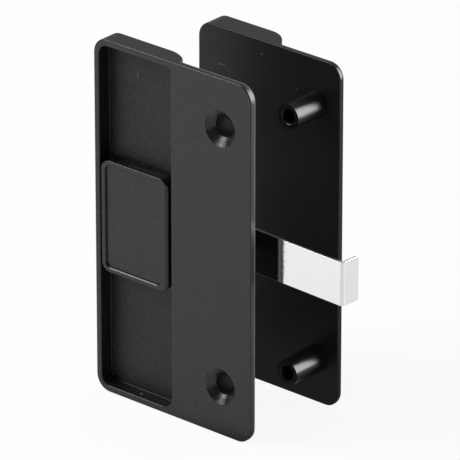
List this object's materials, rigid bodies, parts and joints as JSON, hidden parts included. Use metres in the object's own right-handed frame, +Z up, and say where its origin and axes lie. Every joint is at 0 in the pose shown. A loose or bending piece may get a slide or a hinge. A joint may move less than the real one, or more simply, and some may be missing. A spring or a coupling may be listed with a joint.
{
  "type": "door latch and pull",
  "caption": "Sliding screen door latch and pull: inside plate with finger cup, rocking thumb pad and steel hook, and an outside pull plate with screw bosses.",
  "frame": {"origin": "centre of the two screw holes of the inside plate, on its back face where it lies on the door", "axes": "+X along the plates' width towards the hook, +Y from the room through the door to the outdoors, +Z up"},
  "size_m": [0.083, 0.0396, 0.1052],
  "materials": {
    "black_plastic": "moulded black plastic with a fine satin texture",
    "pad_plastic": "moulded black plastic, satin dish with a smoother rim",
    "bright_steel": "bright plated spring steel strip",
    "pin_steel": "plain drawn steel"
  },
  "bodies": {
    "plates": {"inside_plate": "black_plastic", "outside_plate": "black_plastic", "pivot_pin": "pin_steel"},
    "rocker": {"thumb_pad": "pad_plastic", "latch_hook": "bright_steel", "rivet_upper": "pin_steel", "rivet_lower": "pin_steel"}
  },
  "joints": [
    {"name": "latch_pivot", "type": "hinge", "parent": "plates", "child": "rocker", "pos_m": [-0.0306, 0.00485, 0.002], "axis": [0, 0, 1], "range_deg": [-2.8, 3.4]}
  ]
}
